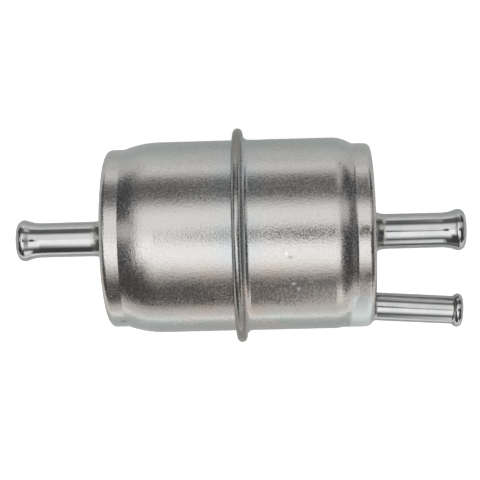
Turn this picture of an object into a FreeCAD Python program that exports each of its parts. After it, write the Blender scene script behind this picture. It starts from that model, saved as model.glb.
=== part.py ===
import FreeCAD, Part
import math
import os
import Sketcher

# In-line fuel filter: two pressed steel shells hemmed together, an inlet spigot, an outlet
# spigot and a smaller return spigot, with a spring-loaded pleated element inside.
#
# Frame: +X runs along the can from the inlet to the outlet, -Y points to the return spigot and
# +Z is up when the filter lies flat. The origin is on the can's axis, in the middle of the seam.

doc = FreeCAD.newDocument("fuel_filter")

# Driving dimensions in millimetres and degrees.
DRIVING = {
    # pressed steel can
    "steel": 0.7,
    "can_half": 29.65,
    "body_radius": 21.55,
    "neck_radius": 20.1,
    "end_corner": 1.4,
    "inlet_shoulder": 17.75,
    "inlet_crease": 25.6,
    "outlet_shoulder": 20.85,
    "outlet_shoulder_radius": 8.0,
    "outlet_shoulder_angle": 27.0,
    "outlet_crease_radius": 1.2,
    "pad_offset": 3.6,
    "pad_reach": 21.35,
    "pad_corner": 2.0,
    # hemmed seam
    "flange_radius": 24.2,
    "inner_flange_radius": 22.8,
    "lip_radius": 22.3,
    "inlet_bend": 0.7,
    "outlet_bend": 1.5,
    # inlet and outlet spigots
    "main_radius": 3.97,
    "main_wall": 0.85,
    "main_bead": 4.74,
    "main_nose": 1.6,
    "main_throat": 8.0,
    "spigot_reach": 21.1,
    "inlet_ramp": 18.0,
    "outlet_ramp": 22.0,
    "inlet_inside": 2.2,
    "outlet_inside": 7.5,
    "hole_gap": 0.05,
    # return spigot
    "return_radius": 3.175,
    "return_wall": 0.7,
    "return_bead": 3.8,
    "return_nose": 1.15,
    "return_throat": 0.5,
    "return_ramp": 50.0,
    "return_reach": 20.0,
    "return_inside": 2.2,
    "return_offset": 16.85,
    "return_tilt": 4.0,
    "orifice_radius": 0.4,
    # braze fillets around the spigots
    "braze_width": 1.4,
    "inlet_braze_length": 4.0,
    "outlet_braze_length": 3.2,
    "return_braze": 0.8,
    "return_braze_sink": 0.3,
    # filter element
    "tin": 0.5,
    "closed_cap_face": 20.0,
    "open_cap_face": 24.5,
    "cap_radius": 18.2,
    "cap_rim": 3.5,
    "boss_height": 2.5,
    "boss_radius": 5.3,
    "potting": 1.5,
    "potting_bore": 7.3,
    "core_radius": 8.0,
    "core_hole": 1.0,
    "core_pitch": 3.8,
    "paper": 0.45,
    "pleat_outer": 16.7,
    "pleat_inner": 8.7,
    "clip_depth": 2.8,
    "clip_width": 1.9,
    # grommet that seals the element on the outlet spigot
    "grommet_radius": 6.6,
    "grommet_groove": 5.6,
    "grommet_lip": 7.0,
    "slide_gap": 0.05,
    # spring behind the element
    "spring_wire": 1.1,
    "spring_radius": 8.2,
    "spring_turns": 3.5,
    "seat_radius": 10.5,
    "seat_rim": 2.0,
    "seat_gauge": 0.6,
}
PLEATS = 24
CORE_HOLE_ROWS = 10
CORE_HOLE_PAIRS = 6


class Size(float):
    """A number that remembers the sheet expression it comes from."""

    def __new__(cls, value, text):
        size = super().__new__(cls, value)
        size.text = text
        return size

    def __add__(self, other):
        return joined(self, "+", other, float(self) + float(other))

    def __radd__(self, other):
        return joined(other, "+", self, float(other) + float(self))

    def __sub__(self, other):
        return joined(self, "-", other, float(self) - float(other))

    def __rsub__(self, other):
        return joined(other, "-", self, float(other) - float(self))

    def __mul__(self, other):
        return joined(self, "*", other, float(self) * float(other))

    def __rmul__(self, other):
        return joined(other, "*", self, float(other) * float(self))

    def __truediv__(self, other):
        return joined(self, "/", other, float(self) / float(other))

    def __neg__(self):
        return joined(-1.0, "*", self, -float(self))


def words(value):
    return value.text if isinstance(value, Size) else repr(float(value))


def joined(left, sign, right, value):
    return Size(value, f"({words(left)} {sign} {words(right)})")


def root(value):
    return Size(math.sqrt(value), f"sqrt({words(value)})")


def sine(angle):
    return Size(math.sin(math.radians(angle)), f"sin({words(angle)})")


def cosine(angle):
    return Size(math.cos(math.radians(angle)), f"cos({words(angle)})")


def make_sheet():
    """Writes the driving dimensions and returns them as sizes, by name."""
    sheet = doc.addObject("Spreadsheet::Sheet", "Sizes")
    sizes = {}
    for row, (name, value) in enumerate(DRIVING.items(), start=1):
        sheet.set(f"A{row}", name)
        sheet.set(f"B{row}", str(value))
        sheet.setAlias(f"B{row}", name)
        sizes[name] = Size(value, f"Sizes.{name}")
    doc.recompute()
    return sizes


size = make_sheet()

# Lengths that several pieces share.
seam_half = size["steel"] * 1.5
fold_half = size["steel"] * 0.5
wall_radius = size["body_radius"] - size["steel"]
inner_neck = size["neck_radius"] - size["steel"]
inner_end = size["can_half"] - size["steel"]
neck_drop = size["body_radius"] - size["neck_radius"]
media_start = -(size["closed_cap_face"] - size["tin"] - size["potting"])
media_end = size["open_cap_face"] - size["tin"] - size["potting"]
rim_radius = size["cap_radius"] - size["tin"]


def new_body(label):
    body = doc.addObject("PartDesign::Body", label)
    body.Label = label
    return body


def origin_plane(body, role):
    for plane in body.Origin.OriginFeatures:
        if plane.Role == role:
            return plane
    raise ValueError(role)


def new_sketch(body, name, role="XY_Plane"):
    sketch = body.newObject("Sketcher::SketchObject", name)
    sketch.AttachmentSupport = [(origin_plane(body, role), "")]
    sketch.MapMode = "FlatFace"
    return sketch


def arc_between(start, end, radius):
    """The short arc from start to end; a positive radius puts its centre on the left."""
    chord = end - start
    middle = start + chord * 0.5
    left = FreeCAD.Vector(-chord.y, chord.x, 0).normalize()
    height = math.sqrt(max(radius**2 - chord.Length**2 / 4, 0.0))
    centre = middle + left * math.copysign(height, radius)
    first, last = (start, end) if radius > 0 else (end, start)
    angles = [math.atan2(p.y - centre.y, p.x - centre.x) for p in (first, last)]
    circle = Part.Circle(centre, FreeCAD.Vector(0, 0, 1), abs(radius))
    return Part.ArcOfCircle(circle, angles[0], angles[1])


def pin_coordinate(sketch, kind, axis, edge, end, value):
    """Holds one coordinate of a corner at a sheet expression."""
    if abs(value) < 1e-9:
        sketch.addConstraint(Sketcher.Constraint("PointOnObject", edge, end, axis))
        return
    index = sketch.addConstraint(Sketcher.Constraint(kind, -1, 1, edge, end, float(value)))
    if isinstance(value, Size):
        sketch.setExpression(f"Constraints[{index}]", value.text)


def outline(body, name, corners, role="XY_Plane"):
    """A closed outline. A corner is (x, y), or (x, y, radius) where an arc leaves it."""
    sketch = new_sketch(body, name, role)
    points = [FreeCAD.Vector(float(c[0]), float(c[1]), 0) for c in corners]
    starts = []
    for i, corner in enumerate(corners):
        begin, finish = points[i], points[(i + 1) % len(points)]
        if len(corner) == 3:
            edge = sketch.addGeometry(arc_between(begin, finish, corner[2]), False)
            starts.append((edge, 1, 2) if corner[2] > 0 else (edge, 2, 1))
        else:
            edge = sketch.addGeometry(Part.LineSegment(begin, finish), False)
            starts.append((edge, 1, 2))
    for i, (edge, start, finish) in enumerate(starts):
        following = starts[(i + 1) % len(starts)]
        meet = Sketcher.Constraint("Coincident", edge, finish, following[0], following[1])
        sketch.addConstraint(meet)
    for (edge, start, finish), corner in zip(starts, corners):
        pin_coordinate(sketch, "DistanceX", -2, edge, start, corner[0])
        pin_coordinate(sketch, "DistanceY", -1, edge, start, corner[1])
        if len(corner) == 3:
            radius = corner[2] if corner[2] > 0 else -corner[2]
            index = sketch.addConstraint(Sketcher.Constraint("Radius", edge, float(radius)))
            sketch.setExpression(f"Constraints[{index}]", words(radius))
    return sketch


def turn(body, name, corners, kind="Revolution"):
    """Revolves an outline about its sketch's X axis, adding (Revolution) or cutting (Groove)."""
    sketch = outline(body, name + "_outline", corners)
    feature = body.newObject("PartDesign::" + kind, name)
    feature.Profile = sketch
    feature.ReferenceAxis = (sketch, ["H_Axis"])
    feature.Angle = 360
    return sketch


def shift_sketch(sketch, along=None, aside=None, tilt=None):
    """Moves a sketch within its plane, and turns it clockwise by a tilt."""
    if tilt is not None:
        rotation = FreeCAD.Rotation(FreeCAD.Vector(0, 0, -1), float(tilt))
        sketch.AttachmentOffset = FreeCAD.Placement(FreeCAD.Vector(), rotation)
        sketch.setExpression("AttachmentOffset.Rotation.Angle", tilt.text)
    if along is not None:
        sketch.setExpression("AttachmentOffset.Base.x", along.text)
    if aside is not None:
        sketch.setExpression("AttachmentOffset.Base.y", aside.text)


def turned_piece(label, corners):
    body = new_body(label)
    turn(body, label + "_turned", corners)
    return body


# Can shells and seam


def inlet_shoulder_curve():
    """Radius of the long arc that eases the wall down to the inlet neck's crease."""
    run = size["inlet_crease"] - size["inlet_shoulder"]
    return (run * run + neck_drop * neck_drop) / (neck_drop * 2.0)


def make_inlet_shell():
    """The half whose plain flange is held inside the other half's folded flange."""
    end, steel = size["can_half"], size["steel"]
    corner, bend = size["end_corner"], size["inlet_bend"]
    curve = inlet_shoulder_curve()
    hole = size["main_radius"] + size["hole_gap"]
    flange = size["inner_flange_radius"]
    bend_top = size["body_radius"] + bend
    bend_start = fold_half + bend
    inner_curve = curve - steel
    inner_height = inner_curve - neck_drop
    inner_crease = root(inner_curve * inner_curve - inner_height * inner_height)
    return turned_piece(
        "inlet_shell",
        [
            (-end, hole),
            (-end, size["neck_radius"] - corner, -corner),
            (corner - end, size["neck_radius"]),
            (-size["inlet_crease"], size["neck_radius"], -curve),
            (-size["inlet_shoulder"], size["body_radius"]),
            (-bend_start, size["body_radius"], bend),
            (-fold_half, bend_top),
            (-fold_half, flange),
            (fold_half, flange),
            (fold_half, bend_top, -(bend + steel)),
            (-bend_start, wall_radius),
            (-size["inlet_shoulder"], wall_radius, inner_curve),
            (-size["inlet_shoulder"] - inner_crease, inner_neck),
            (corner - end, inner_neck, corner - steel),
            (-inner_end, size["neck_radius"] - corner),
            (-inner_end, hole),
        ],
    )


def outlet_end(inset):
    """The outlet half's shoulder, creased into the neck, then the corner; outside or inset."""
    angle = size["outlet_shoulder_angle"]
    upper = size["outlet_shoulder_radius"]
    lower = size["outlet_crease_radius"]
    cone_drop = neck_drop - (upper + lower) * (1.0 - cosine(angle))
    cone_run = cone_drop * cosine(angle) / sine(angle)
    cone_x = size["outlet_shoulder"] + (upper - inset) * sine(angle)
    cone_y = size["body_radius"] - upper + (upper - inset) * cosine(angle)
    neck_x = size["outlet_shoulder"] + (upper + lower) * sine(angle) + cone_run
    crease_x = neck_x - (lower + inset) * sine(angle)
    crease_y = size["neck_radius"] + lower - (lower + inset) * cosine(angle)
    corner = size["end_corner"]
    return [
        (size["outlet_shoulder"], size["body_radius"] - inset, inset - upper),
        (cone_x, cone_y),
        (crease_x, crease_y, lower + inset),
        (neck_x, size["neck_radius"] - inset),
        (size["can_half"] - corner, size["neck_radius"] - inset, inset - corner),
        (size["can_half"] - inset, size["neck_radius"] - corner),
    ]


def walked_back(corners):
    """The same stretch of outline from its far end, where each arc turns the other way."""
    radii = [corner[2] if len(corner) == 3 else None for corner in corners]
    back = []
    for corner, radius in zip(reversed(corners), reversed([None] + radii[:-1])):
        back.append(corner[:2] if radius is None else (corner[0], corner[1], -radius))
    return back


def make_outlet_shell():
    """The half whose flange folds over the seam, with a pad where the neck fades out."""
    end, steel, bend = size["can_half"], size["steel"], size["outlet_bend"]
    nothing = steel * 0.0
    hole = size["main_radius"] + size["hole_gap"]
    bend_top = size["body_radius"] + bend
    bend_end = seam_half + bend
    rim = size["flange_radius"] - seam_half
    outside = outlet_end(nothing)
    inside = outlet_end(steel)
    body = new_body("outlet_shell")
    turn(
        body,
        "wall",
        [
            (fold_half, bend_top),
            (fold_half, rim, fold_half),
            (0.0, size["flange_radius"] - steel, fold_half),
            (-fold_half, rim),
            (-fold_half, size["lip_radius"]),
            (-seam_half, size["lip_radius"]),
            (-seam_half, rim, -seam_half),
            (0.0, size["flange_radius"], -seam_half),
            (seam_half, rim),
            (seam_half, bend_top, bend),
            (bend_end, size["body_radius"]),
        ]
        + outside
        + [(end, hole), (inner_end, hole)]
        + walked_back(inside)
        + [(bend_end, wall_radius, -(bend + steel))],
    )
    radius = size["pad_reach"] - size["pad_offset"]
    corner = size["pad_corner"]
    start = size["outlet_shoulder"] - 1.0
    pad = turn(
        body,
        "pad",
        [
            (start, 0.0),
            (start, radius),
            (end - corner, radius, -corner),
            (end, radius - corner),
            (end, 0.0),
        ],
    )
    shift_sketch(pad, aside=-size["pad_offset"])
    turn(
        body,
        "neck_inside",
        [(start - 1.0, 0.0), (start - 1.0, wall_radius)] + inside + [(inner_end, 0.0)],
        "Groove",
    )
    pad_inside = turn(
        body,
        "pad_inside",
        [
            (start - 1.0, 0.0),
            (start - 1.0, radius - steel),
            (end - corner, radius - steel, steel - corner),
            (inner_end, radius - corner),
            (inner_end, 0.0),
        ],
        "Groove",
    )
    shift_sketch(pad_inside, aside=-size["pad_offset"])
    reach = steel * 3.0
    turn(
        body,
        "outlet_hole",
        [(end - reach, 0.0), (end - reach, hole), (end + reach, hole), (end + reach, 0.0)],
        "Groove",
    )
    return_hole = size["return_radius"] + size["hole_gap"]
    tilted = turn(
        body,
        "return_hole",
        [(-reach, 0.0), (-reach, return_hole), (reach, return_hole), (reach, 0.0)],
        "Groove",
    )
    shift_sketch(tilted, end, -size["return_offset"], size["return_tilt"])
    return body


def make_seam_seal():
    """Sealing compound trapped between the plain flange's edge and the fold."""
    rim = size["flange_radius"] - seam_half
    top = size["flange_radius"] - size["steel"]
    flange = size["inner_flange_radius"]
    return turned_piece(
        "seam_seal_ring",
        [
            (-fold_half, flange),
            (-fold_half, rim, -fold_half),
            (0.0, top, -fold_half),
            (fold_half, rim),
            (fold_half, flange),
        ],
    )


# Spigots


def put_spigot(piece, place):
    """Moves a piece from its own frame, where +X leaves the can, to one of the three holes."""
    if place == "inlet":
        piece.Placement.Rotation = FreeCAD.Rotation(FreeCAD.Vector(0, 0, 1), 180)
        piece.setExpression("Placement.Base.x", (-size["can_half"]).text)
        return
    piece.setExpression("Placement.Base.x", size["can_half"].text)
    if place == "return":
        tilt = size["return_tilt"]
        piece.Placement.Rotation = FreeCAD.Rotation(FreeCAD.Vector(0, 0, -1), float(tilt))
        piece.setExpression("Placement.Rotation.Angle", tilt.text)
        piece.setExpression("Placement.Base.y", (-size["return_offset"]).text)


def make_spigot(place, family, ramp, inside, reach):
    """A tube whose outer end eases up a ramp to a bead and rounds in to its mouth."""
    radius, wall = size[family + "_radius"], size[family + "_wall"]
    bead, nose = size[family + "_bead"], size[family + "_nose"]
    bore = radius - wall
    centre_x = reach - nose
    centre_y = bead - nose
    crest_x = centre_x - nose * sine(ramp)
    crest_y = centre_y + nose * cosine(ramp)
    foot_x = crest_x - (crest_y - radius) * cosine(ramp) / sine(ramp)
    hollow = nose - wall
    hollow_x = centre_x - hollow * sine(ramp)
    hollow_y = centre_y + hollow * cosine(ramp)
    throat = size[family + "_throat"]
    throat_x = foot_x - throat * (1.0 - cosine(ramp)) / sine(ramp)
    throat_centre = radius + throat
    inner = throat + wall
    piece = turned_piece(
        place + "_tube",
        [
            (-inside, bore),
            (-inside, radius),
            (throat_x, radius, throat),
            (throat_x + throat * sine(ramp), throat_centre - throat * cosine(ramp)),
            (crest_x, crest_y, -nose),
            (centre_x, bead, -nose),
            (reach, centre_y),
            (reach - wall, centre_y, hollow),
            (centre_x, bead - wall, hollow),
            (hollow_x, hollow_y),
            (throat_x + inner * sine(ramp), throat_centre - inner * cosine(ramp), -inner),
            (throat_x, bore),
        ],
    )
    put_spigot(piece, place)
    return piece


def make_braze(place, radius, width, length, sink):
    """A concave fillet of braze between a spigot and the can's end face, or sunk into it."""
    curve = (length * length + width * width) / (width * 2.0)
    piece = turned_piece(
        place + "_braze",
        [(-sink, radius), (-sink, radius + width, curve), (length - sink, radius)],
    )
    put_spigot(piece, place)
    return piece


def make_return_orifice():
    """A brass restrictor pressed into the return tube, which lets vapour back to the tank."""
    radius = size["return_radius"] - size["return_wall"]
    inside = size["return_inside"]
    funnel = radius - size["return_wall"]
    piece = turned_piece(
        "return_orifice",
        [
            (-inside, size["orifice_radius"]),
            (-inside, radius),
            (inside, radius),
            (inside, funnel),
            (-inside * 0.5, funnel),
            (-inside * 0.5, size["orifice_radius"]),
        ],
    )
    put_spigot(piece, "return")
    return piece


# Filter element


def make_closed_cap():
    """The cap at the inlet end, with a pressed boss that centres the spring."""
    face, tin = -size["closed_cap_face"], size["tin"]
    boss, height = size["boss_radius"], size["boss_height"]
    outer = size["cap_radius"]
    return turned_piece(
        "closed_end_cap",
        [
            (face - height, 0.0),
            (face - height, boss),
            (face, boss + height * 0.5),
            (face, outer),
            (face + size["cap_rim"], outer),
            (face + size["cap_rim"], rim_radius),
            (face + tin, rim_radius),
            (face + tin, boss + height * 0.5 - tin * 0.5),
            (face - height + tin, boss - tin * 0.5),
            (face - height + tin, 0.0),
        ],
    )


def make_open_cap():
    """The cap at the outlet end, with a hole that the grommet snaps into."""
    face, tin = size["open_cap_face"], size["tin"]
    return turned_piece(
        "open_end_cap",
        [
            (face, size["grommet_groove"]),
            (face, size["cap_radius"]),
            (face - size["cap_rim"], size["cap_radius"]),
            (face - size["cap_rim"], rim_radius),
            (face - tin, rim_radius),
            (face - tin, size["grommet_groove"]),
        ],
    )


def make_potting(label, low, high):
    """The ring of sealant that the paper's edge is set in."""
    bore = size["potting_bore"]
    return turned_piece(
        label, [(low, bore), (low, rim_radius), (high, rim_radius), (high, bore)]
    )


def make_core_tube():
    """The perforated tube that keeps the pleats from collapsing inwards."""
    outer = size["core_radius"]
    inner = outer - size["tin"]
    body = new_body("core_tube")
    turn(
        body,
        "tube",
        [(media_start, inner), (media_start, outer), (media_end, outer), (media_end, inner)],
    )
    doc.recompute()
    holes = new_sketch(body, "holes_outline")
    middle = (media_start + media_end) * 0.5
    for row in range(CORE_HOLE_ROWS):
        x = middle + size["core_pitch"] * (row - (CORE_HOLE_ROWS - 1) / 2)
        centre = FreeCAD.Vector(float(x), 0, 0)
        circle = Part.Circle(centre, FreeCAD.Vector(0, 0, 1), float(size["core_hole"]))
        edge = holes.addGeometry(circle, False)
        pin_coordinate(holes, "DistanceX", -2, edge, 3, x)
        pin_coordinate(holes, "DistanceY", -1, edge, 3, 0.0)
        index = holes.addConstraint(Sketcher.Constraint("Radius", edge, float(circle.Radius)))
        holes.setExpression(f"Constraints[{index}]", size["core_hole"].text)
    pocket = body.newObject("PartDesign::Pocket", "holes")
    pocket.Profile = holes
    pocket.Type = "ThroughAll"
    pocket.Midplane = True
    pattern = body.newObject("PartDesign::PolarPattern", "hole_rows")
    pattern.Originals = [pocket]
    pattern.Axis = (holes, ["H_Axis"])
    pattern.Angle = 180 - 180 / CORE_HOLE_PAIRS
    pattern.Occurrences = CORE_HOLE_PAIRS
    body.Tip = pattern
    return body


def make_filter_paper():
    """Pleated paper: a zigzag line thickened to the paper's gauge and drawn along the element."""
    step = 2 * math.pi / PLEATS
    corners = []
    for pleat in range(PLEATS):
        for radius, angle in (
            (size["pleat_outer"], pleat * step),
            (size["pleat_inner"], (pleat + 0.5) * step),
        ):
            corners.append(FreeCAD.Vector(0, radius * math.sin(angle), radius * math.cos(angle)))
    line = Part.Wire(Part.makePolygon(corners + corners[:1]))
    gauge = float(size["paper"])
    outside = line.makeOffset2D(gauge / 2, 0, False, False)
    inside = line.makeOffset2D(-gauge / 2, 0, False, False)
    section = Part.Face(outside).cut(Part.Face(inside))
    paper = doc.addObject("Part::Feature", "filter_paper")
    paper.Shape = section.extrude(FreeCAD.Vector(float(media_end - media_start), 0, 0))
    paper.Placement.Base = FreeCAD.Vector(float(media_start), 0, 0)
    return paper


def make_paper_clip():
    """A folded metal strip that clamps the paper's two free edges on one pleat."""
    body = new_body("paper_seam_clip")
    tin = size["tin"] * 0.6
    half = size["clip_width"] * 0.5
    top = rim_radius - 0.1
    low = top - size["clip_depth"]
    sketch = outline(
        body,
        "clip_outline",
        [
            (half, low),
            (half, top),
            (-half, top),
            (-half, low),
            (tin - half, low),
            (tin - half, top - tin),
            (half - tin, top - tin),
            (half - tin, low),
        ],
        "YZ_Plane",
    )
    strip = body.newObject("PartDesign::Pad", "clip_strip")
    strip.Profile = sketch
    strip.setExpression("Length", (media_end - media_start).text)
    body.setExpression("Placement.Base.x", media_start.text)
    return body


def make_grommet():
    """The rubber seal that snaps into the open cap and slides on the outlet tube."""
    face, tin = size["open_cap_face"], size["tin"]
    bore = size["main_radius"] + size["slide_gap"]
    outer, groove, lip = size["grommet_radius"], size["grommet_groove"], size["grommet_lip"]
    tip = inner_end - size["slide_gap"]
    return turned_piece(
        "outlet_grommet",
        [
            (media_end, bore),
            (media_end, lip),
            (face - tin, lip),
            (face - tin, groove),
            (face, groove),
            (face, outer),
            (tip - 1.0, outer),
            (tip, outer - 1.0),
            (tip, bore),
        ],
    )


# Spring behind the element


def make_spring_seat():
    """A pressed ring on the inlet shell's inner face that keeps the spring centred."""
    gauge, outer = size["seat_gauge"], size["seat_radius"]
    floor = -inner_end
    bore = size["main_radius"] + size["hole_gap"] * 2.0
    return turned_piece(
        "spring_seat",
        [
            (floor, bore),
            (floor, outer),
            (floor + size["seat_rim"], outer),
            (floor + size["seat_rim"], outer - gauge),
            (floor + gauge, outer - gauge),
            (floor + gauge, bore),
        ],
    )


def make_spring():
    """A coil of round wire between the seat and the closed cap."""
    wire_half = size["spring_wire"] * 0.5
    start = size["seat_gauge"] - inner_end + wire_half + 0.02
    end = -size["closed_cap_face"] - wire_half - 0.02
    helix = doc.addObject("Part::Helix", "spring_path")
    helix.setExpression("Radius", size["spring_radius"].text)
    helix.setExpression("Height", (end - start).text)
    helix.setExpression("Pitch", ((end - start) / size["spring_turns"]).text)
    wire = doc.addObject("Part::Circle", "spring_section")
    wire.setExpression("Radius", wire_half.text)
    wire.setExpression("Placement.Base.x", size["spring_radius"].text)
    wire.Placement.Rotation = FreeCAD.Rotation(FreeCAD.Vector(1, 0, 0), 90)
    spring = doc.addObject("Part::Sweep", "element_spring")
    spring.Sections = [wire]
    spring.Spine = (helix, ["Edge1"])
    spring.Solid = True
    spring.Frenet = True
    spring.Placement.Rotation = FreeCAD.Rotation(FreeCAD.Vector(0, 1, 0), 90)
    spring.setExpression("Placement.Base.x", start.text)
    return spring


def make_pieces():
    main, small = size["main_radius"], size["return_radius"]
    cap_low = -size["closed_cap_face"] + size["tin"]
    cap_high = size["open_cap_face"] - size["tin"]
    width = size["braze_width"]
    bead, sink = size["return_braze"], size["return_braze_sink"]
    flush = sink * 0.0
    return [
        make_inlet_shell(),
        make_outlet_shell(),
        make_seam_seal(),
        make_spigot("inlet", "main", size["inlet_ramp"], size["inlet_inside"], size["spigot_reach"]),
        make_spigot("outlet", "main", size["outlet_ramp"], size["outlet_inside"], size["spigot_reach"]),
        make_spigot("return", "return", size["return_ramp"], size["return_inside"], size["return_reach"]),
        make_braze("inlet", main, width, size["inlet_braze_length"], flush),
        make_braze("outlet", main, width, size["outlet_braze_length"], flush),
        make_braze("return", small, bead, bead + sink, sink),
        make_return_orifice(),
        make_closed_cap(),
        make_open_cap(),
        make_potting("closed_cap_potting", cap_low, media_start),
        make_potting("open_cap_potting", media_end, cap_high),
        make_core_tube(),
        make_filter_paper(),
        make_paper_clip(),
        make_grommet(),
        make_spring_seat(),
        make_spring(),
    ]


def check(pieces):
    """Stops before anything is written if an object failed or a piece isn't one sound solid."""
    for item in doc.Objects:
        if "Invalid" in item.State or "Error" in item.State:
            raise RuntimeError(f"{item.Label} failed: {item.State}")
    for piece in pieces:
        shape = piece.Shape
        if shape.isNull() or not shape.isValid() or len(shape.Solids) != 1:
            raise RuntimeError(f"{piece.Label} isn't one valid solid")


def check_pad(shell):
    """Stops if the pad's wall is missing, because a failed union loses it without an error."""
    on_wall = FreeCAD.Vector(
        float(size["can_half"] - size["pad_corner"] * 1.5),
        float(size["steel"] * 0.5 - size["pad_reach"]),
        0.1,
    )
    if not shell.Shape.isInside(on_wall, 1e-6, False):
        raise RuntimeError("the outlet shell has lost its pad")


def write(pieces):
    os.makedirs("parts", exist_ok=True)
    for piece in pieces:
        piece.Shape.exportStep(f"parts/{piece.Label}.step")
        print(f"{piece.Label}: {piece.Shape.Volume:.1f} mm3")


pieces = make_pieces()
doc.recompute()
check(pieces)
check_pad(doc.getObject("outlet_shell"))
write(pieces)
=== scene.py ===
import math

import bpy
from mathutils import Matrix, Vector


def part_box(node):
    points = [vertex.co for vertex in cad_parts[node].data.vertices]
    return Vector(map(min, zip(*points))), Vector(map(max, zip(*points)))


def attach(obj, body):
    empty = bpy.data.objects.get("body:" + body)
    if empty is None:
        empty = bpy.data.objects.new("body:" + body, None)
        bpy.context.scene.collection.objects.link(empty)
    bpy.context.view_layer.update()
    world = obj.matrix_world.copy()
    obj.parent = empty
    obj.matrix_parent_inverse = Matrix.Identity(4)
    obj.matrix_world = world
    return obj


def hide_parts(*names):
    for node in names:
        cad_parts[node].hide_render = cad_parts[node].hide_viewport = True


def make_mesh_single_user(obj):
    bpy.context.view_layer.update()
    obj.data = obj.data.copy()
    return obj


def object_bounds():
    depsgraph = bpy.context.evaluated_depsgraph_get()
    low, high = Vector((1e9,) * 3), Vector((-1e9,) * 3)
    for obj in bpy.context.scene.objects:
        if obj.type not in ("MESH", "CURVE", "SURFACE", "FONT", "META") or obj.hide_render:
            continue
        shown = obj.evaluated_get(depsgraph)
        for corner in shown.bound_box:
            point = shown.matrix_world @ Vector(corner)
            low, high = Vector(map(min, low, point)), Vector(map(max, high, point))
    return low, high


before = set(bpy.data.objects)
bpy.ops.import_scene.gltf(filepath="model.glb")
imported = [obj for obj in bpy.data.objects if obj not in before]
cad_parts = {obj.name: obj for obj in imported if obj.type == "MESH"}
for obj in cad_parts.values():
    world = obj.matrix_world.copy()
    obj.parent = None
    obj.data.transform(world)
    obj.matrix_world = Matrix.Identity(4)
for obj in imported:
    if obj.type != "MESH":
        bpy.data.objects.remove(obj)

cad_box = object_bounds()
floor_height = cad_box[0][2]
outlet_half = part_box("outlet_shell")
can_end = outlet_half[1].x
seam_radius = outlet_half[1].y

# Colours are linear and lengths are in metres, in the part's own frame.
WORLD_CAMERA_GREY = 0.95
WORLD_DARK = 0.10
FLOOR_LIFT = 0.6
FLOOR_REACH = 3.0
CAMERA_PLACE = (0.01051, -0.00109, 0.2975)
CAMERA_YAW = -0.0356
CAMERA_ROLL = -0.026
LENS_PLACE = (0.021, 0.0, 0.30)
LENS_RADIUS = 0.042

# The soft panels reach from one of these ends to the other along the part.
LEFT = -0.37
RIGHT = 0.26
# Name, lowest and highest angle off the vertical, left and right end, radiance, the share of each
# edge that fades (low and high, then left and right), and the distance from the part's axis.
PANELS = (
    ("upper_panel", -4.0, 50.0, LEFT, RIGHT, 1.55, (0.1, 0.42), (0.12, 0.12), 0.62),
    ("lower_panel", -61.0, -2.0, -0.20, RIGHT, 1.92, (0.56, 0.12), (0.16, 0.16), 0.63),
    ("lower_left_panel", -42.0, 5.0, LEFT, -0.02, 2.15, (0.5, 0.12), (0.2, 0.2), 0.632),
)
CARDS = (
    ("upper_room", 46.0, 74.0, LEFT, RIGHT, 0.22, (0.2, 0.2), (0.12, 0.12), 0.66),
    ("upper_wall", 67.0, 93.0, -0.40, 0.42, 1.25, (0.55, 0.02), (0.3, 0.35), 0.68),
    ("lower_left_room", -80.0, -50.0, -0.15, 0.02, 0.16, (0.3, 0.3), (0.3, 0.4), 0.655),
    ("lower_right_room", -94.0, -56.0, 0.0, RIGHT, 1.6, (0.1, 0.45), (0.5, 0.2), 0.66),
    ("lower_wall", -94.0, -80.0, -0.02, 0.9, 1.2, (0.1, 0.4), (0.2, 0.1), 0.67),
    ("corner_panel", 48.0, 92.0, 0.10, 0.27, 0.9, (0.3, 0.2), (0.2, 0.2), 0.60),
    ("left_window", -10.0, 28.0, -0.85, -0.38, 1.0, (0.3, 0.3), (0.3, 0.1), 0.64),
    ("right_room", 4.0, 50.0, 0.20, 0.75, 1.0, (0.3, 0.3), (0.2, 0.2), 0.65),
    ("floor_gleam", -107.0, -99.0, -0.3, 0.3, 2.1, (0.2, 0.4), (0.2, 0.2), 0.0855),
)
# Wide lights that only matt things see: name, lowest and highest angle, and radiance.
FILLS = (
    ("top_fill", -44.0, 44.0, 0.2),
    ("upper_fill", 45.0, 80.0, 1.85),
    ("lower_fill", -80.0, -45.0, 2.1),
)
FILL_END = 0.9
FILL_FADE = (0.1, 0.1)
FILL_RADIUS = 0.75
PANEL_STEPS = 10

# Cards beyond each end of the part: upright ones far off, and ones that lie on the floor.
END_CARD_PLACE = 0.8
END_CARD_HALF_WIDTH = 0.6
END_CARD_HEIGHT = 0.45
END_CARD_RADIANCE = 0.9
FLOOR_CARD_START = 0.11
FLOOR_CARD_END = 0.75
FLOOR_CARD_HALF_WIDTH = 0.35
FLOOR_CARD_LIFT = 0.001
FLOOR_CARD_RADIANCE = 1.1

# Plating colours on the can, with painted sheen, painted reflection and painted shade among them.
ZINC_DARK = (0.430, 0.416, 0.404, 1.0)
ZINC_LIGHT = (0.449, 0.442, 0.430, 1.0)
# The next three are painted tints: a warm reflection, a teal sheen and a blue reflection.
ZINC_WARM_REFLECTION = (0.475, 0.425, 0.385, 1.0)
ZINC_TEAL_SHEEN = (0.375, 0.425, 0.405, 1.0)
ZINC_BLUE_REFLECTION = (0.37, 0.41, 0.43, 1.0)
ZINC_PINK = (0.485, 0.415, 0.37, 1.0)
PAD_TONE = (0.62, 0.67, 0.66, 1.0)
# Painted shade for the seam's rim.
RIM_SHADE_TONE = (0.225, 0.22, 0.20, 1.0)
SPECK_TONE = (0.14, 0.12, 0.10, 1.0)
BROWN = (0.13, 0.10, 0.07, 1.0)
BLACK = (0.03, 0.03, 0.035, 1.0)
WHITE = (0.95, 0.95, 0.93, 1.0)
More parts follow.
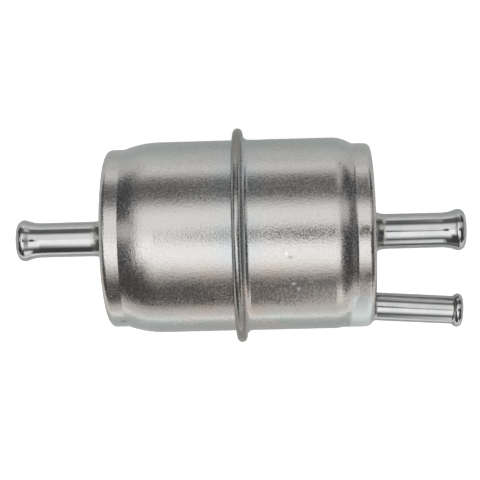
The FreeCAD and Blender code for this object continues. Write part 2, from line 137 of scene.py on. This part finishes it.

# Where each tint, painted sheen, painted reflection and painted shade on the can starts and where it is
# full, or the other way round.
TEAL_SHEEN_FROM_MIDDLE = (0.0150, 0.0205)
BLUE_REFLECTION_FROM_SEAM = (0.0025, 0.0065)
PINK_FROM_SEAM = (0.004, 0.017)
LOWER_SIDE = (-0.0045, -0.0085)
WARM_REFLECTION_FROM_MIDDLE = (0.0155, 0.0185)
PAD_START = (0.0235, 0.0250)
PAD_SIDE = (-0.0135, -0.0145)
PAD_END = (can_end - 0.00145, can_end - 0.00045)
# The seam's rim is painted darker as shade, most where it turns down at the sides.
RIM_FROM_AXIS = (seam_radius - 0.0020, seam_radius - 0.0012)
RIM_FROM_SEAM = (0.0030, 0.0040)
RIM_FROM_MIDDLE = (0.009, 0.019)

# Handling marks on the can: place, size along each axis, colour and strength.
SHELL_MARKS = (
    ((-0.0260, -0.0184, 0.0080), (0.0011, 0.0009, 0.0015), BROWN, 0.6),
    ((0.0118, -0.0107, 0.0187), (0.0009, 0.0005, 0.0010), WHITE, 1.0),
    ((0.0129, -0.0117, 0.0180), (0.0006, 0.0009, 0.0010), WHITE, 1.0),
    ((0.0112, -0.0050, 0.0209), (0.0009, 0.0005, 0.0008), BLACK, 0.5),
    ((0.0104, -0.0042, 0.0211), (0.0003, 0.0005, 0.0008), WHITE, 0.4),
    ((0.0223, 0.0147, 0.0153), (0.0004, 0.0004, 0.0005), BLACK, 0.9),
    ((0.0273, 0.0004, 0.0200), (0.0014, 0.0013, 0.0015), BROWN, 0.75),
    ((0.0278, -0.0092, 0.0178), (0.0011, 0.0009, 0.0015), BROWN, 0.5),
)


def own_mesh(name, vertices, faces, material):
    """A mesh object linked to the scene."""
    mesh = bpy.data.meshes.new(name)
    mesh.from_pydata(vertices, [], faces)
    mesh.materials.append(material)
    piece = bpy.data.objects.new(name, mesh)
    bpy.context.scene.collection.objects.link(piece)
    return piece


class Finish:
    """A node material that starts from a Principled shader, with short calls for what is used here."""

    def __init__(self, name, **uniform):
        self.material = bpy.data.materials.new(name)
        self.material.use_nodes = True
        self.tree = self.material.node_tree
        self.shader = self.tree.nodes["Principled BSDF"]
        for socket, value in uniform.items():
            self.shader.inputs[socket.replace("_", " ")].default_value = value
        self.place = self.add("ShaderNodeTexCoord").outputs["Object"]

    def add(self, kind, inputs=None, **settings):
        """A node with its settings, and its inputs as values or as sockets to link."""
        node = self.tree.nodes.new(kind)
        for setting, value in settings.items():
            setattr(node, setting, value)
        for socket, value in (inputs or {}).items():
            self.put(node.inputs[socket], value)
        return node

    def put(self, socket, value):
        """A value or a link into one socket."""
        if isinstance(value, bpy.types.NodeSocket):
            self.tree.links.new(value, socket)
        else:
            socket.default_value = value

    def scaled(self, scale, shift=(0.0, 0.0, 0.0)):
        """The place on the part, scaled along each axis and shifted."""
        inputs = {"Vector": self.place, "Scale": scale, "Location": shift}
        return self.add("ShaderNodeMapping", inputs).outputs["Vector"]

    def noise(self, scale, detail=2.0, roughness=0.5, shift=(0.0, 0.0, 0.0)):
        """Noise from 0 to 1. Scale is per metre, one number or one for each axis."""
        axes = scale if isinstance(scale, tuple) else (scale, scale, scale)
        inputs = {
            "Vector": self.scaled(axes, shift),
            "Scale": 1.0,
            "Detail": detail,
            "Roughness": roughness,
        }
        return self.add("ShaderNodeTexNoise", inputs).outputs["Fac"]

    def cells(self, scale, shift=(0.0, 0.0, 0.0)):
        """Distance to the nearest of scattered points, in cell widths."""
        axes = (scale, scale, scale)
        inputs = {"Vector": self.scaled(axes, shift), "Scale": 1.0}
        return self.add("ShaderNodeTexVoronoi", inputs).outputs["Distance"]

    def spread(self, value, low, high, to_low=0.0, to_high=1.0, smooth=True):
        """The value moved from one range to another, and held inside it."""
        inputs = {
            "Value": value,
            "From Min": low,
            "From Max": high,
            "To Min": to_low,
            "To Max": to_high,
        }
        kind = "SMOOTHSTEP" if smooth else "LINEAR"
        return self.add("ShaderNodeMapRange", inputs, interpolation_type=kind).outputs["Result"]

    def fall(self, value, full, gone):
        """1 up to the first place, falling to 0 at the second."""
        return self.spread(value, full, gone, 1.0, 0.0)

    def math(self, operation, first, second=0.0):
        """One sum, difference, product or absolute value."""
        node = self.add("ShaderNodeMath", {0: first, 1: second}, operation=operation)
        return node.outputs["Value"]

    def times(self, first, *factors):
        """The product of values."""
        product = first
        for factor in factors:
            product = self.math("MULTIPLY", product, factor)
        return product

    def mixed(self, factor, first, second, blend="MIX"):
        """Two colours mixed by a factor."""
        node = self.add("ShaderNodeMix", data_type="RGBA", blend_type=blend)
        self.put(node.inputs["Factor"], factor)
        self.put(node.inputs["A"], first)
        self.put(node.inputs["B"], second)
        return node.outputs["Result"]

    def axis(self, name):
        """One coordinate of the place on the part."""
        return self.add("ShaderNodeSeparateXYZ", {"Vector": self.place}).outputs[name]

    def off(self, name):
        """How far the place is from the middle of one axis, on either side."""
        return self.math("ABSOLUTE", self.axis(name))

    def length(self, vector):
        """The length of a vector."""
        return self.add("ShaderNodeVectorMath", {0: vector}, operation="LENGTH").outputs["Value"]

    def bump(self, height, depth, normal=None):
        """A bumped normal. Depth is the height in metres that 1 stands for."""
        inputs = {"Height": height, "Distance": depth, "Strength": 1.0}
        if normal is not None:
            inputs["Normal"] = normal
        return self.add("ShaderNodeBump", inputs).outputs["Normal"]

    def spot(self, centre, size, soft=0.5):
        """1 at a point on the part, falling to 0 at the given radii along each axis."""
        stretch = tuple(1.0 / radius for radius in size)
        shift = tuple(-c / radius for c, radius in zip(centre, size))
        return self.fall(self.length(self.scaled(stretch, shift)), 1.0 - soft, 1.0)

    def finish(self, colour, roughness, normal):
        """Links the three things that vary over the surface."""
        self.put(self.shader.inputs["Base Color"], colour)
        self.put(self.shader.inputs["Roughness"], roughness)
        self.put(self.shader.inputs["Normal"], normal)
        return self.material


def grey(level, blue=0.0):
    """A linear grey, with more blue if asked for."""
    return (level, level, level + blue, 1.0)


def shell_tint(f, cloud):
    """The can's plating: teal to the sides as painted sheen, blue by the seam and warm on the lower side as
    painted reflection, and pink on the lower side.
    """
    patch = f.noise((70.0, 150.0, 150.0), 3.0, 0.55, (3.1, 7.7, 1.3))
    uneven = f.spread(patch, 0.35, 0.6, 0.35, 1.0)
    from_seam = f.off("X")
    from_middle = f.off("Y")
    below = f.spread(f.axis("Y"), *LOWER_SIDE)
    # Painted sheen: teal where the sides turn away.
    teal = f.times(f.spread(from_middle, *TEAL_SHEEN_FROM_MIDDLE), uneven)
    # Painted reflection: blue beside the seam.
    blue = f.times(f.fall(from_seam, *BLUE_REFLECTION_FROM_SEAM), uneven)
    pink = f.times(f.fall(from_seam, *PINK_FROM_SEAM), f.spread(cloud, 0.4, 0.62), below)
    # Painted reflection: warm across the dark band on the lower side.
    warm = f.times(below, f.fall(from_middle, *WARM_REFLECTION_FROM_MIDDLE))
    colour = f.mixed(f.spread(cloud, 0.35, 0.65), ZINC_DARK, ZINC_LIGHT)
    colour = f.mixed(f.times(warm, 0.6), colour, ZINC_WARM_REFLECTION)
    colour = f.mixed(teal, colour, ZINC_TEAL_SHEEN)
    colour = f.mixed(f.times(blue, 0.5), colour, ZINC_BLUE_REFLECTION)
    return f.mixed(f.times(pink, 0.8), colour, ZINC_PINK)


def pad_mask(f):
    """1 on the flat pad beside the return spigot."""
    along = f.axis("X")
    start = f.spread(along, *PAD_START)
    side = f.spread(f.axis("Y"), *PAD_SIDE)
    return f.times(start, side, f.fall(along, *PAD_END))


def rim_painted_shade(f):
    """Painted shade: up to 1 on the seam's rim, most of all where it turns down at the sides."""
    from_axis = f.length(f.scaled((0.0, 1.0, 1.0)))
    rim = f.times(f.spread(from_axis, *RIM_FROM_AXIS), f.fall(f.off("X"), *RIM_FROM_SEAM))
    return f.times(rim, f.spread(f.off("Y"), *RIM_FROM_MIDDLE, 0.2, 1.0))


def sanded(f, colour, sand):
    """The colour a little lighter or darker from grain to grain."""
    shade = f.spread(sand, 0.3, 0.7, 0.89, 1.11, smooth=False)
    tone = f.add("ShaderNodeCombineColor", {0: shade, 1: shade, 2: shade}).outputs["Color"]
    return f.mixed(1.0, colour, tone, "MULTIPLY")


def marked(f, colour, grain):
    """The colour with scattered specks and the handling marks."""
    speck = f.fall(f.cells(900.0, (1.7, 0.3, 4.1)), 0.05, 0.12)
    colour = f.mixed(f.times(speck, 0.4), colour, SPECK_TONE)
    for centre, size, tone, strength in SHELL_MARKS:
        mark = f.times(f.spot(centre, size, 0.7), f.spread(grain, 0.3, 0.6, 0.3, 1.0))
        colour = f.mixed(f.times(mark, strength), colour, tone)
    return colour


def shell_zinc():
    """Satin zinc plating on drawn steel: sandy grain, draw lines and faint rainbow tints, some of them
    painted sheen and painted reflection, and painted shade on the seam's rim.
    """
    f = Finish("zinc_plated_shell", Metallic=1.0)
    cloud = f.noise(110.0, 4.0, 0.6)
    grain = f.noise(1900.0, 3.0, 0.65)
    sand = f.noise(2500.0, 3.0, 0.65, (5.1, 2.7, 8.3))
    ring = f.noise((1500.0, 25.0, 25.0), 2.0, 0.5)
    wave = f.noise(160.0, 2.0)
    pad = pad_mask(f)
    colour = f.mixed(f.times(pad, 0.8), shell_tint(f, cloud), PAD_TONE)
    # Painted shade on the seam's rim.
    colour = f.mixed(rim_painted_shade(f), colour, RIM_SHADE_TONE)
    colour = marked(f, sanded(f, colour, sand), grain)
    cloudy = f.spread(cloud, 0.35, 0.65, -0.02, 0.02)
    sandy = f.spread(sand, 0.4, 0.7, 0.18, 0.36)
    roughness = f.math("ADD", f.math("ADD", cloudy, sandy), f.times(pad, 0.16))
    normal = f.bump(grain, 3.3e-5)
    normal = f.bump(ring, 7.0e-6, normal)
    normal = f.bump(wave, 3.0e-5, normal)
    return f.finish(colour, roughness, normal)


def tube_zinc():
    """Brighter zinc on the smooth tubes, with a painted blue sheen where it turns away."""
    f = Finish("zinc_plated_tube", Metallic=1.0)
    cloud = f.noise(220.0, 4.0, 0.6)
    colour = f.mixed(f.spread(cloud, 0.3, 0.7), (0.375, 0.385, 0.388, 1.0), (0.425, 0.42, 0.414, 1.0))
    # Painted sheen: bluer where the tube faces away from the view.
    grazing_sheen = f.add("ShaderNodeLayerWeight", {"Blend": 0.5}).outputs["Facing"]
    colour = f.mixed(f.spread(grazing_sheen, 0.45, 0.9), colour, (0.365, 0.425, 0.44, 1.0))
    speck = f.fall(f.cells(1100.0, (0.7, 2.3, 1.1)), 0.04, 0.10)
    colour = f.mixed(f.times(speck, 0.5), colour, (0.12, 0.10, 0.08, 1.0))
    grain = f.noise(3000.0, 3.0, 0.6)
    line = f.noise((60.0, 2600.0, 2600.0), 2.0, 0.5)
    roughness = f.spread(grain, 0.3, 0.7, 0.09, 0.14)
    normal = f.bump(grain, 3.0e-6)
    normal = f.bump(line, 2.0e-6, normal)
    return f.finish(colour, roughness, normal)


def braze():
    """Braze metal under the same plating, slightly lumpy."""
    f = Finish("plated_braze", Metallic=1.0)
    lump = f.noise(900.0, 3.0, 0.6)
    colour = f.mixed(f.spread(lump, 0.3, 0.7), (0.36, 0.36, 0.34, 1.0), (0.44, 0.44, 0.42, 1.0))
    normal = f.bump(lump, 6.0e-5)
    return f.finish(colour, f.spread(lump, 0.3, 0.7, 0.16, 0.3), normal)


def cap_steel():
    """Tinplate with a faint crystal pattern and scuffs from pressing."""
    f = Finish("tinplate", Metallic=1.0)
    crystal = f.cells(260.0)
    scuff = f.noise((40.0, 1500.0, 1500.0), 3.0, 0.6)
    colour = f.mixed(f.spread(crystal, 0.0, 0.9), (0.56, 0.56, 0.54, 1.0), (0.68, 0.68, 0.66, 1.0))
    roughness = f.spread(scuff, 0.3, 0.7, 0.24, 0.40)
    return f.finish(colour, roughness, f.bump(scuff, 5.0e-6))


def spring_steel():
    """Oil-tempered wire, dark with lighter rub marks."""
    f = Finish("spring_steel", Metallic=1.0)
    rub = f.noise((300.0, 900.0, 900.0), 4.0, 0.6)
    colour = f.mixed(f.spread(rub, 0.45, 0.7), (0.11, 0.10, 0.10, 1.0), (0.33, 0.31, 0.29, 1.0))
    return f.finish(colour, f.spread(rub, 0.3, 0.7, 0.28, 0.45), f.bump(rub, 1.0e-5))


def orifice_brass():
    """Turned brass with fine tool rings."""
    f = Finish("orifice_brass", Metallic=1.0)
    ring = f.noise((6000.0, 60.0, 60.0), 2.0, 0.5)
    cloud = f.noise(500.0, 3.0, 0.6)
    colour = f.mixed(f.spread(cloud, 0.3, 0.7), (0.62, 0.42, 0.15, 1.0), (0.76, 0.56, 0.24, 1.0))
    return f.finish(colour, f.spread(cloud, 0.3, 0.7, 0.20, 0.32), f.bump(ring, 4.0e-6))


def filter_paper():
    """Resin-treated paper: fibres, mottling and darker flecks."""
    f = Finish("filter_paper", IOR=1.45)
    fibre = f.noise((500.0, 3200.0, 3200.0), 5.0, 0.7)
    mottle = f.noise(350.0, 4.0, 0.6)
    fleck = f.fall(f.cells(1400.0), 0.06, 0.14)
    colour = f.mixed(f.spread(mottle, 0.3, 0.7), (0.62, 0.47, 0.24, 1.0), (0.76, 0.62, 0.37, 1.0))
    colour = f.mixed(f.times(fleck, 0.5), colour, (0.36, 0.24, 0.11, 1.0))
    return f.finish(colour, f.spread(fibre, 0.3, 0.7, 0.72, 0.92), f.bump(fibre, 4.0e-5))


def cured_compound(name, dark, light, depth):
    """A cast or squeezed compound with a slightly uneven skin."""
    f = Finish(name, IOR=1.5)
    skin = f.noise(420.0, 4.0, 0.55)
    pit = f.fall(f.cells(1600.0), 0.08, 0.2)
    colour = f.mixed(f.spread(skin, 0.3, 0.7), dark, light)
    height = f.math("SUBTRACT", skin, f.times(pit, 0.4))
    return f.finish(colour, f.spread(skin, 0.3, 0.7, 0.38, 0.58), f.bump(height, depth))


def grommet_rubber():
    """Moulded black rubber with a fine matt skin and a little bloom."""
    f = Finish("grommet_rubber", IOR=1.52)
    skin = f.noise(3500.0, 3.0, 0.6)
    bloom = f.noise(300.0, 4.0, 0.6, (2.2, 5.1, 0.4))
    colour = f.mixed(f.spread(bloom, 0.5, 0.75), (0.018, 0.018, 0.019, 1.0), (0.05, 0.05, 0.052, 1.0))
    return f.finish(colour, f.spread(skin, 0.3, 0.7, 0.50, 0.66), f.bump(skin, 1.5e-5))


def floor_material():
    """Matt pale paper, greyer under the part as painted shade, and lifted for the camera so that next to no
    shadow shows.
    """
    f = Finish("studio_floor", IOR=1.3)
    f.shader.inputs["Specular IOR Level"].default_value = 0.0
    tooth = f.noise(900.0, 3.0, 0.6)
    # Painted shade: the floor is greyer in a band along the part and paler further out.
    out_of_painted_shade = f.spread(f.off("Y"), 0.040, 0.130)
    colour = f.mixed(tooth, grey(0.74), grey(0.77))
    colour = f.mixed(out_of_painted_shade, colour, grey(0.96))
    f.shader.inputs["Emission Color"].default_value = grey(1.0)
    path = f.add("ShaderNodeLightPath")
    lift = f.times(path.outputs["Is Camera Ray"], FLOOR_LIFT)
    f.put(f.shader.inputs["Emission Strength"], lift)
    return f.finish(colour, 0.9, f.bump(tooth, 1.0e-5))


def lay_floor():
    """A pale floor under the part."""
    signs = ((-1, -1), (1, -1), (1, 1), (-1, 1))
    vertices = [(x * FLOOR_REACH, y * FLOOR_REACH, floor_height) for x, y in signs]
    floor = own_mesh("studio_floor", vertices, [(0, 1, 2, 3)], floor_material())


def edge_fade(tree, across, edge, soft):
    """0 at an edge of the cloth, at 0 or 1 of its width, rising to 1 further in."""
    fade = tree.nodes.new("ShaderNodeMapRange")
    fade.interpolation_type = "SMOOTHSTEP"
    tree.links.new(across, fade.inputs["Value"])
    fade.inputs["From Min"].default_value = edge
    fade.inputs["From Max"].default_value = edge + (soft if edge == 0.0 else -soft)
    return fade.outputs["Result"]


def multiplied(tree, first, second):
    """The product of two sockets."""
    product = tree.nodes.new("ShaderNodeMath")
    product.operation = "MULTIPLY"
    tree.links.new(first, product.inputs[0])
    tree.links.new(second, product.inputs[1])
    return product.outputs["Value"]


def panel_material(name, radiance, soft_angle, soft_end):
    """Glowing cloth that turns clear towards its edges. Its map runs 0 to 1 across and along."""
    material = bpy.data.materials.new(name)
    material.use_nodes = True
    tree = material.node_tree
    tree.nodes.clear()
    place = tree.nodes.new("ShaderNodeUVMap")
    split = tree.nodes.new("ShaderNodeSeparateXYZ")
    tree.links.new(place.outputs["UV"], split.inputs["Vector"])
    ends = split.outputs["X"]
    angles = split.outputs["Y"]
    strength = edge_fade(tree, ends, 0.0, soft_end[0])
    for across, edge, soft in (
        (ends, 1.0, soft_end[1]),
        (angles, 0.0, soft_angle[0]),
        (angles, 1.0, soft_angle[1]),
    ):
        strength = multiplied(tree, strength, edge_fade(tree, across, edge, soft))
    glow = tree.nodes.new("ShaderNodeEmission")
    glow.inputs["Strength"].default_value = radiance
    clear = tree.nodes.new("ShaderNodeBsdfTransparent")
    blend = tree.nodes.new("ShaderNodeMixShader")
    tree.links.new(strength, blend.inputs["Fac"])
    tree.links.new(clear.outputs["BSDF"], blend.inputs[1])
    tree.links.new(glow.outputs["Emission"], blend.inputs[2])
    output = tree.nodes.new("ShaderNodeOutputMaterial")
    tree.links.new(blend.outputs["Shader"], output.inputs["Surface"])
    return material


def hang_panel(name, low, high, left, right, radiance, soft_angle, soft_end, radius):
    """A soft panel bent round the part's long axis, from one angle to another off the vertical."""
    vertices = []
    for i in range(PANEL_STEPS + 1):
        angle = math.radians(low + (high - low) * i / PANEL_STEPS)
        for x in (left, right):
            vertices.append((x, radius * math.sin(angle), radius * math.cos(angle)))
    faces = [(2 * i, 2 * i + 1, 2 * i + 3, 2 * i + 2) for i in range(PANEL_STEPS)]
    material = panel_material(name, radiance, soft_angle, soft_end)
    panel = own_mesh(name, vertices, faces, material)
    layer = panel.data.uv_layers.new(name="across")
    for loop in panel.data.loops:
        step, side = divmod(loop.vertex_index, 2)
        layer.data[loop.index].uv = (side, step / PANEL_STEPS)
    panel.visible_camera = False
    return panel


def light_world():
    """Pale behind the part, and dim where the part mirrors it."""
    world = bpy.data.worlds.new("studio")
    world.use_nodes = True
    tree = world.node_tree
    back = tree.nodes["Background"]
    back.inputs["Color"].default_value = grey(1.0)
    dim = tree.nodes.new("ShaderNodeBackground")
    dim.inputs["Color"].default_value = grey(1.0, 0.05)
    dim.inputs["Strength"].default_value = WORLD_DARK
    back.inputs["Strength"].default_value = WORLD_CAMERA_GREY
    path = tree.nodes.new("ShaderNodeLightPath")
    mix = tree.nodes.new("ShaderNodeMixShader")
    tree.links.new(path.outputs["Is Camera Ray"], mix.inputs["Fac"])
    tree.links.new(dim.outputs["Background"], mix.inputs[1])
    tree.links.new(back.outputs["Background"], mix.inputs[2])
    tree.links.new(mix.outputs["Shader"], tree.nodes["World Output"].inputs["Surface"])
    bpy.context.scene.world = world


def hang_lens_shade():
    """The dark front of a camera, which the can mirrors in its right half."""
    material = bpy.data.materials.new("lens_shade")
    material.use_nodes = True
    shader = material.node_tree.nodes["Principled BSDF"]
    shader.inputs["Base Color"].default_value = grey(0.02)
    shader.inputs["Roughness"].default_value = 0.6
    steps = 48
    rim = [math.tau * i / steps for i in range(steps)]
    vertices = [
        (LENS_PLACE[0] + LENS_RADIUS * math.cos(a), LENS_PLACE[1] + LENS_RADIUS * math.sin(a), LENS_PLACE[2])
        for a in rim
    ]
    shade = own_mesh("lens_shade", vertices, [tuple(range(steps))], material)
    shade.visible_camera = False
    shade.visible_shadow = False
    shade.visible_diffuse = False


def only_mirrored(card):
    """A card that lights nothing and only shows as a reflection in the metal."""
    card.visible_camera = False
    card.visible_diffuse = False
    card.visible_shadow = False


def flat_card(name, corners, radiance, soft):
    """A flat card for reflections, from its four corners in order."""
    card = own_mesh(name, corners, [(0, 1, 2, 3)], panel_material(name, radiance, soft, soft))
    layer = card.data.uv_layers.new(name="across")
    for loop, place in zip(layer.data, ((0, 0), (1, 0), (1, 1), (0, 1))):
        loop.uv = place
    only_mirrored(card)


def light_ends():
    """Cards beyond both ends of the part, for the end faces and the views along it."""
    low = floor_height + FLOOR_CARD_LIFT
    wide = END_CARD_HALF_WIDTH
    near = FLOOR_CARD_HALF_WIDTH
    for name, side in (("inlet", -1.0), ("outlet", 1.0)):
        x = END_CARD_PLACE * side
        corners = [(x, -wide, 0.0), (x, wide, 0.0), (x, wide, END_CARD_HEIGHT), (x, -wide, END_CARD_HEIGHT)]
        flat_card(name + "_end_card", corners, END_CARD_RADIANCE, (0.3, 0.3))
        inner = FLOOR_CARD_START * side
        outer = FLOOR_CARD_END * side
        corners = [(inner, -near, low), (outer, -near, low), (outer, near, low), (inner, near, low)]
        flat_card(name + "_floor_card", corners, FLOOR_CARD_RADIANCE, (0.15, 0.3))


def light_studio():
    """Long soft panels, the dimmer room round them, and fills that the metal doesn't mirror."""
    for panel in PANELS:
        hang_panel(*panel)
    for card in CARDS:
        only_mirrored(hang_panel(*card))
    for name, low, high, radiance in FILLS:
        fill = hang_panel(name, low, high, -FILL_END, FILL_END, radiance, FILL_FADE, FILL_FADE, FILL_RADIUS)
        fill.visible_glossy = False
    light_ends()
    light_world()
    hang_lens_shade()


def place_camera():
    """The camera nearly above the part, turned and rolled a little."""
    ahead = Vector((math.sin(CAMERA_YAW), 0.0, -math.cos(CAMERA_YAW)))
    level = Vector((math.cos(CAMERA_YAW), 0.0, math.sin(CAMERA_YAW)))
    side = Vector((0.0, 1.0, 0.0))
    right = level * math.cos(CAMERA_ROLL) + side * math.sin(CAMERA_ROLL)
    up = side * math.cos(CAMERA_ROLL) - level * math.sin(CAMERA_ROLL)
    data = bpy.data.cameras.new("camera")
    data.sensor_width = 36.0
    data.lens = 98.3
    data.clip_start = 0.01
    data.clip_end = 20.0
    camera = bpy.data.objects.new("camera", data)
    bpy.context.scene.collection.objects.link(camera)
    turn = Matrix((right, up, -ahead)).transposed().to_4x4()
    camera.matrix_world = Matrix.Translation(CAMERA_PLACE) @ turn
    bpy.context.scene.camera = camera


def dress(material, *nodes):
    """Gives CAD nodes a material."""
    for node in nodes:
        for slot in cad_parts[node].material_slots:
            slot.material = material


def dress_nodes():
    """Every CAD node that stays gets its finish."""
    dress(shell_zinc(), "inlet_shell", "outlet_shell")
    dress(tube_zinc(), "inlet_tube", "outlet_tube", "return_tube")
    dress(braze(), "inlet_braze", "outlet_braze", "return_braze")
    dress(cap_steel(), "closed_end_cap", "open_end_cap", "core_tube", "paper_seam_clip", "spring_seat")
    dress(orifice_brass(), "return_orifice")
    dress(filter_paper(), "filter_paper")
    potting = cured_compound("potting", (0.46, 0.14, 0.09, 1.0), (0.58, 0.20, 0.13, 1.0), 6.0e-5)
    dress(potting, "closed_cap_potting", "open_cap_potting")
    seal = cured_compound("sealing_compound", (0.12, 0.12, 0.13, 1.0), (0.18, 0.18, 0.19, 1.0), 5.0e-5)
    dress(seal, "seam_seal_ring")
    dress(grommet_rubber(), "outlet_grommet")


def wind_spring():
    """The spring as a piece of its own, attached to the can; the real spring shortens as the element slides.
    """
    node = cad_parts["element_spring"]
    spring = bpy.data.objects.new("element_spring_wire", node.data.copy())
    bpy.context.scene.collection.objects.link(spring)
    spring.matrix_world = node.matrix_world
    spring.data.materials.clear()
    spring.data.materials.append(spring_steel())
    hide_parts("element_spring")
    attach(spring, "can")
    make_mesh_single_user(spring)


place_camera()
lay_floor()
light_studio()
dress_nodes()
wind_spring()
bpy.context.scene.view_settings.view_transform = "Standard"
